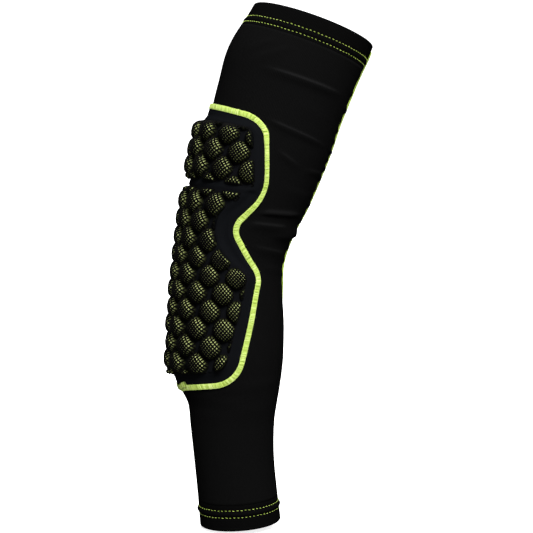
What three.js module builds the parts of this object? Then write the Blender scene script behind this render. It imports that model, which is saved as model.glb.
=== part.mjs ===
// A padded elbow sleeve for hockey: a stretch-knit tube for the arm with a folded hem at each end. On the
// back of the elbow and forearm a smooth panel carries two blocks of foam, moulded with diamond bumps and
// parted by a groove where the elbow bends. A sewn tape runs round the panel, and a seam closes the tube
// along the inside of the arm.
// Millimetres, +Z up. The origin is in the middle of the arm at the elbow. The forearm hangs down, the
// upper arm leans to +X, and the back of the elbow faces -X.
import * as THREE from 'three';

const { degToRad, smoothstep, clamp } = THREE.MathUtils;

// Thicknesses, and the gap between pieces that lie on each other
const KNIT = 1.4;
const HEM_THICK = 2.6;
const PANEL_THICK = 1.5;
const TAPE_THICK = 1.3;
const SEAM_THICK = 0.9;
const GAP = 0.3;
const SKIN_GAP = 0.6; // wider, because the wide pieces are flat between their corners

// Hems and the seam
const HEM_DEPTH = 17;
const SEAM_WIDTH = 3.2;
const SEAM_AROUND = 1; // degrees

// The foam: heights over the knit, and the bumps' pattern on the flat foam
const FOAM_FLOOR = 5.6;
const FOAM_TOP = 11;
const FOAM_EDGE = 4.4;
const FOAM_MIDDLE = 5;
const BUMP_ROUNDNESS = 3; // more makes the bumps fuller
const BUMP_PITCH = 17;
const BUMP_SHIFT = -1.8; // of the rows to one side of the panel's middle
const ROW_PITCH = 13.17;
const FIRST_ROW = 298.1;
const GROOVE_ALONG = FIRST_ROW - 3 * ROW_PITCH;
const GROOVE_WIDTH = 4.6;
const EDGE_ROLL = 3;

// The panel's flat pattern is drawn on a round arm of this radius, and turns a little down the forearm
const PATTERN_RADIUS = 40;
const PANEL_MIDDLE = 180; // degrees round the arm, level with the first row of bumps
const PANEL_TURN = 0.0756; // degrees for each millimetre down from there
const TAPE_WIDTH = 4.4;
const PANEL_INSET = 1.3; // from the tape's inner edge to the panel's
const UPPER_INSET = 7.3; // from the middle of the tape to the foam's edge
const LOWER_INSET = 9.8;
const FOAM_HIGHEST = 306; // the upper block's straight top edge

// Heights of the layers over the knit
const PANEL_TOP = SKIN_GAP + PANEL_THICK;
const FOAM_BOTTOM = PANEL_TOP + GAP;

// Facets
const AROUND_STEPS = 30;
const RING_STEP = 9;
const INNER_RING_STEP = 24;
const PANEL_STEP = { across: 10, along: 8 };
const ARC_STEP = 25; // degrees of a rounded corner
const TAPE_STEP = 9;
const CUT_SNAP = 0.4; // a grid point this near to a cut lies on it
const LEAST_AREA = 1e-6;
const BACK_LINE_STEPS = 800;

// Sections of the sleeve from the wrist end up: the centre, the lean of the arm to +X in degrees, and half
// the width in the plane of the bend and across it
const SECTIONS = [
  { x: 3.0, z: -203.0, lean: -4.0, halfWidth: 30.4, halfDepth: 29.5 },
  { x: 0.7, z: -180.0, lean: -3.0, halfWidth: 30.0, halfDepth: 29.5 },
  { x: -1.6, z: -155.5, lean: -1.0, halfWidth: 30.2, halfDepth: 29.5 },
  { x: -2.9, z: -131.0, lean: 0.5, halfWidth: 31.6, halfDepth: 30.5 },
  { x: -2.9, z: -115.5, lean: 1.5, halfWidth: 33.5, halfDepth: 32.5 },
  { x: -5.0, z: -101.0, lean: 2.0, halfWidth: 38.0, halfDepth: 35.5 },
  { x: -4.0, z: -80.0, lean: 2.5, halfWidth: 39.5, halfDepth: 38.0 },
  { x: -3.0, z: -52.5, lean: 3.0, halfWidth: 39.1, halfDepth: 38.0 },
  { x: -2.6, z: -25.5, lean: 4.5, halfWidth: 37.3, halfDepth: 37.5 },
  { x: -0.9, z: -4.5, lean: 8.0, halfWidth: 36.6, halfDepth: 37.5 },
  { x: 3.9, z: 16.5, lean: 8.5, halfWidth: 38.8, halfDepth: 39.5 },
  { x: 11.2, z: 39.0, lean: 8.5, halfWidth: 43.0, halfDepth: 42.5 },
  { x: 19.9, z: 67.5, lean: 10.0, halfWidth: 46.1, halfDepth: 45.0 },
  { x: 26.2, z: 88.0, lean: 14.5, halfWidth: 47.0, halfDepth: 46.0 },
  { x: 32.1, z: 109.0, lean: 19.0, halfWidth: 47.8, halfDepth: 47.0 },
  { x: 40.7, z: 134.0, lean: 20.0, halfWidth: 49.2, halfDepth: 48.0 },
  { x: 56.2, z: 165.5, lean: 19.6, halfWidth: 47.0, halfDepth: 46.5 },
];

// One half of the panel's outline on its flat pattern, from the top middle to the bottom middle: how far
// across from the middle line, how far up the back of the arm, and the corner's radius
const OUTLINE = [
  { across: 0, along: 317.6, radius: 0 },
  { across: 59.5, along: 315.0, radius: 17 },
  { across: 70.4, along: 256.0, radius: 34 },
  { across: 54.0, along: 230.0, radius: 12 },
  { across: 80.0, along: 196.5, radius: 10 },
  { across: 58.8, along: 111.0, radius: 19 },
  { across: 0, along: 109.0, radius: 0 },
];

const OUTLINE_REACH = Math.max(...OUTLINE.map((row) => row.across));
const LOWEST_ALONG = Math.min(...OUTLINE.map((row) => row.along));
const HIGHEST_ALONG = Math.max(...OUTLINE.map((row) => row.along));

// Folds of the knit: the middle's place, half the length round the arm in degrees, how far along the arm the
// fold climbs for each degree round it, half the width, and the height, less than nothing for a crease
const FOLDS = [
  { along: 355, around: 82, halfLength: 32, climb: -0.05, halfWidth: 7, height: 1.4 },
  { along: 312, around: 64, halfLength: 28, climb: 0.12, halfWidth: 7, height: 1.4 },
  { along: 290, around: 66, halfLength: 17, climb: 0.2, halfWidth: 7, height: 1.2 },
  { along: 240, around: 46, halfLength: 30, climb: -0.04, halfWidth: 6, height: -0.8 },
  { along: 229, around: 44, halfLength: 30, climb: -0.02, halfWidth: 6, height: 1.2 },
  { along: 218, around: 30, halfLength: 24, climb: -0.05, halfWidth: 6, height: -0.8 },
  { along: 104, around: 92, halfLength: 20, climb: 0, halfWidth: 6, height: -0.6 },
  { along: 113, around: 50, halfLength: 26, climb: -0.06, halfWidth: 7, height: 1.0 },
  { along: 346, around: 268, halfLength: 34, climb: 0.06, halfWidth: 8, height: 1.3 },
  { along: 300, around: 300, halfLength: 26, climb: -0.14, halfWidth: 7, height: 1.3 },
  { along: 238, around: 318, halfLength: 28, climb: 0.05, halfWidth: 6, height: -0.8 },
  { along: 226, around: 316, halfLength: 28, climb: 0.03, halfWidth: 6, height: 1.2 },
];

// Where the folds fade out: millimetres from the tape's middle and from the hem, degrees from the seam
const FOLD_FADE = { fromTape: 6, overTape: 8, fromSeam: 6, overSeam: 10, overHem: 12 };

// A point on one section, at an angle round the arm and a height over the knit. The angle runs from the
// inside of the elbow (+X) by -Y to the back of the elbow (-X).
const axis = spline(SECTIONS.map((row) => new THREE.Vector3(row.x, 0, row.z)));
const form = spline(SECTIONS.map((row) => new THREE.Vector3(row.lean, row.halfWidth, row.halfDepth)));

function spline(points) {
  return new THREE.CatmullRomCurve3(points, false, 'catmullrom', 0.5);
}

function sectionPoint(t, around, lift) {
  const size = form.getPoint(t);
  const lean = degToRad(size.x);
  const out = (size.y + lift) * Math.cos(around);
  const side = (size.z + lift) * Math.sin(around);
  return axis.getPoint(t).add(new THREE.Vector3(out * Math.cos(lean), -side, -out * Math.sin(lean)));
}

// Places along the arm are lengths up the back of the foam from the wrist edge
class BackLine extends THREE.Curve {
  getPoint(t) {
    return sectionPoint(t, Math.PI, FOAM_MIDDLE);
  }
}
const backLine = new BackLine();
backLine.arcLengthDivisions = BACK_LINE_STEPS;
const BACK_LENGTH = backLine.getLength();

function skinPoint(along, around, lift) {
  return sectionPoint(backLine.getUtoTmapping(0, along), around, lift);
}

// The flat pattern of the panel and its place on the arm
function patternAngle(across, along) {
  return degToRad(PANEL_MIDDLE - PANEL_TURN * (FIRST_ROW - along)) - across / PATTERN_RADIUS;
}

function patternPoint(across, along, lift) {
  return skinPoint(along, patternAngle(across, along), lift);
}

// The panel's outline as a closed ring of flat points, with round corners
function outlineRing() {
  const half = OUTLINE.map((row) => ({ at: new THREE.Vector2(row.across, row.along), radius: row.radius }));
  const mirrored = half.slice(1, -1).reverse();
  const other = mirrored.map(({ at, radius }) => ({ at: new THREE.Vector2(-at.x, at.y), radius }));
  const corners = [...half, ...other];
  return corners.flatMap((corner, i) => {
    const before = corners.at(i - 1).at;
    const after = corners[(i + 1) % corners.length].at;
    return roundCorner(before, corner.at, after, corner.radius);
  });
}

function roundCorner(before, at, after, radius) {
  if (radius === 0) return [at];
  const back = before.clone().sub(at).normalize();
  const on = after.clone().sub(at).normalize();
  const halfAngle = Math.acos(clamp(back.dot(on), -1, 1)) / 2;
  const reach = radius / Math.tan(halfAngle);
  const centre = back.clone().add(on).setLength(radius / Math.sin(halfAngle)).add(at);
  const start = back.multiplyScalar(reach).add(at).sub(centre);
  const end = on.multiplyScalar(reach).add(at).sub(centre);
  const turn = Math.atan2(start.cross(end), start.dot(end));
  const steps = Math.ceil(Math.abs(turn) / degToRad(ARC_STEP));
  return Array.from({ length: steps + 1 }, (_, i) => {
    return start.clone().rotateAround(new THREE.Vector2(), (turn * i) / steps).add(centre);
  });
}

const RING = outlineRing();

// The distance of a flat point from the outline, less than nothing inside it
function outlineDistance(across, along) {
  const point = new THREE.Vector2(across, along);
  let nearest = Infinity;
  let inside = false;
  RING.forEach((a, i) => {
    const b = RING[(i + 1) % RING.length];
    const edge = b.clone().sub(a);
    const part = clamp(point.clone().sub(a).dot(edge) / edge.lengthSq(), 0, 1);
    nearest = Math.min(nearest, point.distanceTo(edge.clone().multiplyScalar(part).add(a)));
    const crosses = a.y > along !== b.y > along;
    if (crosses && across < a.x + ((along - a.y) / edge.y) * edge.x) inside = !inside;
  });
  return inside ? -nearest : nearest;
}

// The height of the folds at a place on the knit. They fade out before the tape, the seam and the hems.
function foldHeight(along, around) {
  const degrees = THREE.MathUtils.radToDeg(around);
  const middle = PANEL_MIDDLE - PANEL_TURN * (FIRST_ROW - along);
  const tape = outlineDistance(degToRad(middle - degrees) * PATTERN_RADIUS, along);
  const seam = Math.min(Math.abs(degrees - SEAM_AROUND), Math.abs(degrees - 360 - SEAM_AROUND));
  const edge = Math.min(along, BACK_LENGTH - along) - HEM_DEPTH;
  const fade =
    smoothstep(tape, FOLD_FADE.fromTape, FOLD_FADE.fromTape + FOLD_FADE.overTape) *
    smoothstep(seam, FOLD_FADE.fromSeam, FOLD_FADE.fromSeam + FOLD_FADE.overSeam) *
    smoothstep(edge, 0, FOLD_FADE.overHem);
  const sum = FOLDS.reduce((height, fold) => {
    const round = degrees - fold.around;
    const off = (along - fold.along - fold.climb * round) / fold.halfWidth;
    return height + fold.height * Math.exp(-(off ** 2) - (round / fold.halfLength) ** 4);
  }, 0);
  return fade * sum;
}

// A closed mesh from points and triangles
function solid(points, triangles) {
  const geometry = new THREE.BufferGeometry().setFromPoints(points);
  geometry.setIndex(triangles.flat());
  geometry.computeVertexNormals();
  return geometry;
}

// Two triangles for the square between four points, given in turn round it as seen from outside
function square(a, b, c, d) {
  return [
    [a, b, c],
    [a, c, d],
  ];
}

// Evenly spread values from one end to the other, at most a step apart
function spread(from, to, step) {
  const count = Math.ceil(Math.abs(to - from) / step);
  return Array.from({ length: count + 1 }, (_, i) => from + ((to - from) * i) / count);
}

// A tube round the arm with an outer and an inner wall, joined at both ends
function tube(outerRings, innerRings, outerLift, innerLift) {
  const points = [];
  const triangles = [];
  const addRing = (along, lift) => {
    const first = points.length;
    for (let i = 0; i < AROUND_STEPS; i++) {
      const around = (2 * Math.PI * i) / AROUND_STEPS;
      points.push(skinPoint(along, around, lift(along, around)));
    }
    return first;
  };
  const up = outerRings.map((along) => addRing(along, outerLift));
  const down = innerRings.map((along) => addRing(along, innerLift)).reverse();
  const loop = [...up, ...down];
  loop.forEach((ring, k) => {
    const next = loop[(k + 1) % loop.length];
    for (let i = 0; i < AROUND_STEPS; i++) {
      const j = (i + 1) % AROUND_STEPS;
      triangles.push(...square(ring + i, next + i, next + j, ring + j));
    }
  });
  return solid(points, triangles);
}

// A band with a flat underside, laid along a route of stations. A station gives the band's corners in turn:
// lower left, upper left, upper right, lower right.
function band(stations, closed) {
  const points = stations.flat();
  const corners = 4;
  const triangles = [];
  const last = stations.length - 1;
  const steps = closed ? stations.length : last;
  for (let k = 0; k < steps; k++) {
    const here = k * corners;
    const next = ((k + 1) % stations.length) * corners;
    for (let i = 0; i < corners; i++) {
      const j = (i + 1) % corners;
      triangles.push(...square(here + i, next + i, next + j, here + j));
    }
  }
  if (!closed) {
    triangles.push(...square(0, 1, 2, 3));
    const end = last * corners;
    triangles.push(...square(end + 3, end + 2, end + 1, end));
  }
  return solid(points, triangles);
}

// A slab on the flat pattern, cut from a grid along the line where beyond(across, along) is nothing, and laid
// on the arm between two heights. The grid's diagonals follow the sides of the diamond bumps.
function slab({ acrossStep, alongStep, beyond, lower, upper }) {
  const acrossCount = Math.ceil((OUTLINE_REACH + Math.abs(BUMP_SHIFT)) / acrossStep);
  const lowRow = Math.floor((LOWEST_ALONG - FIRST_ROW) / alongStep);
  const highRow = Math.ceil((HIGHEST_ALONG - FIRST_ROW) / alongStep);
  const flat = [];
  const beyondAt = [];
  const known = new Map();
  const place = (key, across, along, value) => {
    if (!known.has(key)) {
      known.set(key, flat.length);
      flat.push({ across, along });
      beyondAt.push(Math.abs(value) < CUT_SNAP ? 0 : value);
    }
    return known.get(key);
  };
  const corner = (i, j) => {
    const across = BUMP_SHIFT + i * acrossStep;
    const along = FIRST_ROW + j * alongStep;
    return place(`${i},${j}`, across, along, beyond(across, along));
  };
  const cutPoint = (a, b) => {
    const [p, q] = a < b ? [a, b] : [b, a];
    const part = beyondAt[p] / (beyondAt[p] - beyondAt[q]);
    const across = flat[p].across + part * (flat[q].across - flat[p].across);
    const along = flat[p].along + part * (flat[q].along - flat[p].along);
    return place(`${p}-${q}`, across, along, 0);
  };
  const kept = [];
  const keep = (triangle) => {
    const ring = triangle.flatMap((a, k) => {
      const b = triangle[(k + 1) % triangle.length];
      const own = beyondAt[a] <= 0 ? [a] : [];
      return beyondAt[a] * beyondAt[b] < 0 ? [...own, cutPoint(a, b)] : own;
    });
    for (let k = 2; k < ring.length; k++) kept.push([ring[0], ring[k - 1], ring[k]]);
  };
  for (let j = lowRow; j < highRow; j++) {
    for (let i = -acrossCount; i < acrossCount; i++) {
      const [a, b, c, d] = [corner(i, j), corner(i + 1, j), corner(i + 1, j + 1), corner(i, j + 1)];
      const falling = Math.abs(Math.floor(i / 2) + Math.floor(j / 2)) % 2 === 1;
      const halves = falling ? [[a, b, d], [b, c, d]] : [[a, b, c], [a, c, d]];
      halves.forEach(keep);
    }
  }
  return layOnArm(flat, kept.filter(isWide(flat)), lower, upper);
}

// Leaves out a triangle that lies along the cut with no area
function isWide(flat) {
  return ([a, b, c]) => {
    const ab = (flat[b].across - flat[a].across) * (flat[c].along - flat[a].along);
    const ac = (flat[c].across - flat[a].across) * (flat[b].along - flat[a].along);
    return Math.abs(ab - ac) > LEAST_AREA;
  };
}

function layOnArm(flat, kept, lower, upper) {
  const used = [...new Set(kept.flat())];
  const order = new Map(used.map((k, i) => [k, i]));
  const points = [lower, upper].flatMap((lift) => {
    return used.map((k) => patternPoint(flat[k].across, flat[k].along, lift(flat[k].across, flat[k].along)));
  });
  const top = used.length;
  const triangles = [];
  const edges = new Set(kept.flatMap(([a, b, c]) => [`${a},${b}`, `${b},${c}`, `${c},${a}`]));
  for (const triangle of kept) {
    const [a, b, c] = triangle.map((k) => order.get(k));
    triangles.push([a, c, b], [top + a, top + b, top + c]);
    triangle.forEach((p, k) => {
      const q = triangle[(k + 1) % triangle.length];
      if (edges.has(`${q},${p}`)) return;
      const [from, to] = [order.get(p), order.get(q)];
      triangles.push(...square(from, to, top + to, top + from));
    });
  }
  return solid(points, triangles);
}

// How far a flat point is from its bump's middle: 0 there and 1 in the groove round the diamond
function bumpReach(across, along) {
  const row = Math.round((along - FIRST_ROW) / ROW_PITCH);
  const reaches = [row - 1, row, row + 1].map((near) => {
    const shift = BUMP_SHIFT + (near % 2 === 0 ? BUMP_PITCH / 2 : 0);
    const column = Math.round((across - shift) / BUMP_PITCH);
    const offAcross = Math.abs(across - shift - column * BUMP_PITCH) / (BUMP_PITCH / 2);
    const offAlong = Math.abs(along - FIRST_ROW - near * ROW_PITCH) / ROW_PITCH;
    return offAcross + offAlong;
  });
  return Math.min(...reaches, 1);
}

function foamTop(beyond) {
  return (across, along) => {
    const crown = 1 - bumpReach(across, along) ** BUMP_ROUNDNESS;
    const height = FOAM_FLOOR + (FOAM_TOP - FOAM_FLOOR) * crown;
    return FOAM_EDGE + (height - FOAM_EDGE) * smoothstep(-beyond(across, along), 0, EDGE_ROLL);
  };
}

// The pieces
function makeSleeve() {
  const low = HEM_DEPTH;
  const high = BACK_LENGTH - HEM_DEPTH;
  const inner = () => -KNIT;
  return tube(spread(low, high, RING_STEP), spread(low, high, INNER_RING_STEP), foldHeight, inner);
}

function makeHem(edge, seam) {
  const rings = spread(Math.min(edge, seam), Math.max(edge, seam), RING_STEP);
  const outer = () => 0;
  const inner = () => -HEM_THICK;
  return tube(rings, rings, outer, inner);
}

function makePanel() {
  const inset = TAPE_WIDTH / 2 + PANEL_INSET;
  return slab({
    acrossStep: PANEL_STEP.across,
    alongStep: PANEL_STEP.along,
    beyond: (across, along) => outlineDistance(across, along) + inset,
    lower: () => SKIN_GAP,
    upper: () => PANEL_TOP,
  });
}

// A block between two places along the arm and a way in from the tape
function makeFoam(inset, lowest, highest) {
  const beyond = (across, along) => {
    return Math.max(outlineDistance(across, along) + inset, lowest - along, along - highest);
  };
  return slab({
    acrossStep: BUMP_PITCH / 4,
    alongStep: ROW_PITCH / 2,
    beyond,
    lower: () => FOAM_BOTTOM,
    upper: foamTop(beyond),
  });
}

function makeTape() {
  const route = RING.flatMap((at, i) => {
    const next = RING[(i + 1) % RING.length];
    const steps = Math.ceil(at.distanceTo(next) / TAPE_STEP);
    return Array.from({ length: steps }, (_, k) => at.clone().lerp(next, k / steps));
  });
  const stations = route.map((at, i) => {
    const along = route[(i + 1) % route.length].clone().sub(route.at(i - 1)).normalize();
    const aside = new THREE.Vector2(along.y, -along.x).multiplyScalar(TAPE_WIDTH / 2);
    const left = at.clone().add(aside);
    const right = at.clone().sub(aside);
    return [
      patternPoint(left.x, left.y, SKIN_GAP),
      patternPoint(left.x, left.y, SKIN_GAP + TAPE_THICK),
      patternPoint(right.x, right.y, SKIN_GAP + TAPE_THICK),
      patternPoint(right.x, right.y, SKIN_GAP),
    ];
  });
  return band(stations, true);
}

function makeSeam() {
  const rings = spread(HEM_DEPTH, BACK_LENGTH - HEM_DEPTH, RING_STEP);
  const stations = rings.map((along) => {
    const halfAngle = SEAM_WIDTH / 2 / PATTERN_RADIUS;
    const left = degToRad(SEAM_AROUND) - halfAngle;
    const right = degToRad(SEAM_AROUND) + halfAngle;
    return [
      skinPoint(along, left, GAP),
      skinPoint(along, left, GAP + SEAM_THICK),
      skinPoint(along, right, GAP + SEAM_THICK),
      skinPoint(along, right, GAP),
    ];
  });
  return band(stations, false);
}

// Materials
const black = { color: 0x0f0f10, roughness: 0.8 };
const blueBlack = { color: 0x17181b, roughness: 0.6 };
const net = { color: 0x46482e, roughness: 0.7 };
const lime = { color: 0xc4e06a, roughness: 0.6 };

const elbowSleeve = new THREE.Group();

function add(name, geometry, look) {
  const mesh = new THREE.Mesh(geometry, new THREE.MeshStandardMaterial({ ...look, metalness: 0 }));
  mesh.name = name;
  elbowSleeve.add(mesh);
}

add('sleeve', makeSleeve(), black);
add('upper_hem', makeHem(BACK_LENGTH, BACK_LENGTH - HEM_DEPTH + GAP), black);
add('lower_hem', makeHem(0, HEM_DEPTH - GAP), black);
add('pad_panel', makePanel(), blueBlack);
add('upper_pad', makeFoam(UPPER_INSET, GROOVE_ALONG + GROOVE_WIDTH / 2, FOAM_HIGHEST), net);
add('lower_pad', makeFoam(LOWER_INSET, LOWEST_ALONG, GROOVE_ALONG - GROOVE_WIDTH / 2), net);
add('pad_trim', makeTape(), lime);
add('inner_seam', makeSeam(), lime);

export default elbowSleeve;
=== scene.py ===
# A padded elbow sleeve for hockey, in metres and in the frame of the solid model.
import math

import bpy
import numpy as np
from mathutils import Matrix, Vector


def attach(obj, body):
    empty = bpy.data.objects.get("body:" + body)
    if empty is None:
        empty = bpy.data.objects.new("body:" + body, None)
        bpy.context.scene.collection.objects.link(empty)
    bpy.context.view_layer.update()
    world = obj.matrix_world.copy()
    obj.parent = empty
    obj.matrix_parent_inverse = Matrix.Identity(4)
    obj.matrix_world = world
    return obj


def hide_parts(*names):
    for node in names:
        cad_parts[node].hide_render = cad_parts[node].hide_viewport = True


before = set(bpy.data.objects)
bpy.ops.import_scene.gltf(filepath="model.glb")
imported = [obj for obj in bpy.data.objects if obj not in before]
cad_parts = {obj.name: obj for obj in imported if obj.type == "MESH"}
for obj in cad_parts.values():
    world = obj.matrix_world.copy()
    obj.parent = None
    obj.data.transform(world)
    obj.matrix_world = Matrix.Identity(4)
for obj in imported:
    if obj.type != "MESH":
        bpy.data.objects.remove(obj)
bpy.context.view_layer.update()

MM = 0.001
FULL_TURN = 2 * np.pi
rng = np.random.default_rng(7)

# Sections of the sleeve from the wrist up, in mm and degrees: x, z, lean, half width, half depth
SECTIONS = np.array([
    (3.0, -203.0, -4.0, 30.4, 29.5),
    (0.7, -180.0, -3.0, 30.0, 29.5),
    (-1.6, -155.5, -1.0, 30.2, 29.5),
    (-2.9, -131.0, 0.5, 31.6, 30.5),
    (-2.9, -115.5, 1.5, 33.5, 32.5),
    (-5.0, -101.0, 2.0, 38.0, 35.5),
    (-4.0, -80.0, 2.5, 39.5, 38.0),
    (-3.0, -52.5, 3.0, 39.1, 38.0),
    (-2.6, -25.5, 4.5, 37.3, 37.5),
    (-0.9, -4.5, 8.0, 36.6, 37.5),
    (3.9, 16.5, 8.5, 38.8, 39.5),
    (11.2, 39.0, 8.5, 43.0, 42.5),
    (19.9, 67.5, 10.0, 46.1, 45.0),
    (26.2, 88.0, 14.5, 47.0, 46.0),
    (32.1, 109.0, 19.0, 47.8, 47.0),
    (40.7, 134.0, 20.0, 49.2, 48.0),
    (56.2, 165.5, 19.6, 47.0, 46.5),
])

# Half of the panel's outline on its flat pattern, in mm: across, along, corner radius
OUTLINE = [
    (0.0, 317.6, 0),
    (59.5, 315.0, 17),
    (70.4, 256.0, 34),
    (54.0, 230.0, 12),
    (80.0, 196.5, 18),
    (58.8, 113.8, 23),
    (0.0, 105.0, 60),
]

# Folds of the knit: along, around and half length in degrees, climb, width above and below, height
FOLDS = [
    (354.8, 72, 33, -0.033, 1.9, 4.0, 1.7),
    (312.5, 70, 32, 0.121, 2.1, 4.2, 1.45),
    (289.0, 72, 17, 0.39, 2.1, 4.0, 1.15),
    (280.5, 28, 14, 0.0, 2.0, 3.0, 0.8),
    (244.6, 54, 28, -0.043, 2.8, 1.5, 1.9),
    (235.3, 62, 22, -0.022, 2.0, 4.2, 1.4),
    (229.0, 22, 26, 0.02, 7.0, 3.4, 2.2),
    (217.4, 44, 26, 0.044, 2.0, 4.0, 1.0),
    (203.0, 36, 22, 0.05, 3.0, 4.0, 0.5),
    (364.0, 110, 14, -0.6, 4.0, 5.0, 0.8),
    (371.0, 118, 14, -0.5, 3.5, 5.0, 0.6),
    (334.0, 58, 20, 0.1, 5.0, 8.0, 0.4),
    (262.0, 40, 20, 0.1, 3.0, 6.0, 0.6),
    (104.0, 92, 20, 0.0, 4.0, 4.0, -0.5),
    (113.0, 50, 26, -0.06, 3.0, 6.0, 0.6),
    (92.0, 60, 24, -0.05, 3.0, 6.0, 0.4),
    (86.0, 120, 30, 0.04, 3.0, 6.0, 0.4),
    (346.0, 268, 34, 0.06, 5.0, 9.0, 1.2),
    (342.0, 266, 30, 0.06, 2.0, 4.0, 1.4),
    (300.0, 300, 26, -0.14, 4.0, 8.0, 1.2),
    (296.0, 300, 24, -0.14, 2.0, 4.0, 1.3),
    (241.0, 318, 28, 0.05, 3.5, 1.6, 1.4),
    (230.0, 318, 28, 0.04, 2.0, 4.0, 1.6),
    (224.0, 316, 28, 0.03, 5.0, 9.0, 1.0),
    (272.0, 316, 24, -0.08, 3.0, 6.0, 0.9),
    (196.0, 322, 24, -0.05, 3.0, 6.0, 0.9),
    (96.0, 260, 30, 0.05, 4.0, 8.0, 0.8),
]

# Tucks where the knit gathers over the inner seam: along, height, length above and below the crest
TUCKS = [
    (376.0, 1.1, 3.0, 1.6),
    (362.0, 0.6, 3.0, 1.8),
    (348.0, 1.5, 3.2, 1.6),
    (339.0, 0.6, 3.0, 2.0),
    (329.0, 0.8, 3.0, 1.8),
    (316.5, 0.9, 3.2, 1.8),
    (304.5, 1.6, 3.2, 1.6),
    (295.0, 0.8, 3.0, 1.8),
    (285.5, 1.5, 3.2, 1.6),
    (276.5, 1.4, 3.2, 1.6),
    (268.0, 0.9, 3.0, 1.8),
    (261.0, 0.7, 3.0, 1.8),
    (254.5, 1.5, 3.2, 1.6),
    (248.0, 0.8, 2.4, 1.6),
    (242.0, 1.3, 3.0, 1.6),
    (230.8, 3.0, 6.0, 2.2),
    (221.0, 1.0, 3.0, 2.0),
    (211.0, 0.7, 3.0, 2.0),
    (198.0, 0.5, 3.0, 2.0),
]

# The knit tube in mm: its wall, its rings, and how its folds fade by the seam, the tape and the hems
KNIT = 1.4
FOLDED_LOW = 190.0
FOLDED_HIGH = 372.0
RINGS_BELOW_FOLDS = 80
RINGS_IN_FOLDS = 320
RINGS_ABOVE_FOLDS = 6
RINGS_INSIDE = 44
KNIT_COLUMNS = 200
SEAM_FADE = (5.0, 16.0)
TAPE_FADE = (3.0, 12.0)
HEM_FADE = (0.0, 12.0)
TUCK_CLIMB = 0.12
TUCK_SPREAD = 12.0
TOP_SWAY = 1.1
TOP_SWAY_OVER = (370.0, 394.0)

# Painted highlight: the knit is painted paler on the slopes that face up, where the lights from above fall
HIGHLIGHT_STEP = 0.3
HIGHLIGHT_SLOPES = (0.1, 1.0)
HIGHLIGHT_MOST = 0.5
HIGHLIGHT_PALER = 1.6

# The hems, with rows and round edges measured from the hem's edge: distance, lift
HEM_DEPTH = 17.0
HEM_THICK = 2.6
HEM_COLUMNS = 252
HEM_RINGS = 40
HEM_RINGS_INSIDE = 14
LOW_REACH = 2.4
HIGH_REACH = 1.6
LOWER_ROWS = (8.0 + LOW_REACH, 13.3 + LOW_REACH)
UPPER_ROWS = (10.0 + HIGH_REACH, 14.6 + HIGH_REACH)
LOWER_PUFF = 1.2
UPPER_PUFF = 0.5
PUFF_HALF = 1.9
ROW_DIP = 0.42
ROW_DIP_HALF = 1.0
ROUND_OUTSIDE = [(0.0, -1.3), (0.15, -0.7), (0.5, -0.25), (1.1, 0.0)]
ROUND_INSIDE = [(0.5, 0.3), (0.15, 0.7)]
FLAT_OUTSIDE = 1.8
FLAT_INSIDE = 1.2
LIP = 0.3
LIP_HALF = 0.5

# The stitches of the hems, with half their length as a share of the pitch
STITCH_PITCH = 2.9
STITCH_HALF = 0.23
STITCH_WIDTH = 0.34
STITCH_POINTS = 7
STITCH_ARCH = 0.5
STITCH_SINK = 0.35
STITCH_ROUND = 0.6
STITCH_SLANT = 0.1
STITCH_STRAY = 0.06
STITCH_TILT = 0.12
STITCH_SHADES = (0.15, 0.55)
GIRTH_POINTS = 400

# The panel: where its pattern lies round the arm, its edge, its low ridge and its ramp up to the foam
PATTERN_RADIUS = 40.0
PANEL_MIDDLE = 180.0
PANEL_TURN = 0.0756
PANEL_STEP = 1.1
PANEL_INSET = 0.6
PANEL_LOW = 0.2
PANEL_EDGE = 0.9
PANEL_EDGE_ROLL = 2.0
PANEL_TOP = 1.7
RIDGE_HEIGHT = 0.35
RIDGE_IN = 4.6
RIDGE_HALF = 0.9
RAMP_HEIGHT = 1.9
RAMP_LENGTH = 5.5
CORNER_STEP = math.radians(6)
CORNER_LEAST = 4

# The foam blocks: their heights, their edges and the notch at the side
FOAM_STEP = 0.75
FOAM_SUNK = 0.2
FOAM_EDGE = 0.3
FOAM_FLOOR = 3.5
FOAM_TOP = 10.2
FOAM_HIGHEST = 306.0
UPPER_INSET = 7.3
LOWER_INSET = 9.8
NOTCH_INSET = 4.2
NOTCH_FROM = (194.0, 214.0)
NOTCH_TO = (238.0, 256.0)
NOTCH_EASE = 0.6
EDGE_ROLL = 2.0
TOP_ROLL = 6.0

# The lattice of the bumps, which drifts and spreads a little down the forearm, and the lime on the bumps,
# which fades toward their edges as painted shade
FIRST_ROW = 298.5
ROW_PITCH = 13.21
BUMP_PITCH = 17.0
BUMP_SHIFT = -2.4
BUMP_FILL = 0.9
BUMP_WIDE = 0.87
BUMP_TALL = 9.7
BUMP_ROUND = 1.7
CROWN_FLAT = 3.2
CROWN_STEEP = 0.7
LOWER_DRIFT = 3.6
DRIFT_OVER = (205.0, 258.0)
LOWER_SPREAD = 0.12
SPREAD_OVER = (190.0, 235.0)
LIME_WITHIN = 0.68
LIME_OFF_EDGE = (0.8, 1.8)
LIME_OFF_TOP = (1.0, 4.5)

# The flex groove between the two foam blocks, with a welt along its middle
GROOVE_ALONG = FIRST_ROW - 3 * ROW_PITCH
GROOVE_WIDTH = 4.6
GROOVE_ROLL = 8.5
GROOVE_FLOOR = 4.0
GROOVE_HALF = 6.0
GROOVE_FADE = (UPPER_INSET - 1, UPPER_INSET + 4)
WELT_HALF = 1.3
WELT_HEIGHT = 1.0
WELT_FADE = (5.0, 7.5)

# The net over the bumps
NET_PER_BUMP = 9
NET_WIDTH = 1.02
NET_HEIGHT = 0.55
NET_LIFT = 0.45
NET_WEAVE = 0.1
NET_ACROSS = 80.0
NET_INSET = 0.1
NET_OVERHANG = 0.03

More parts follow.
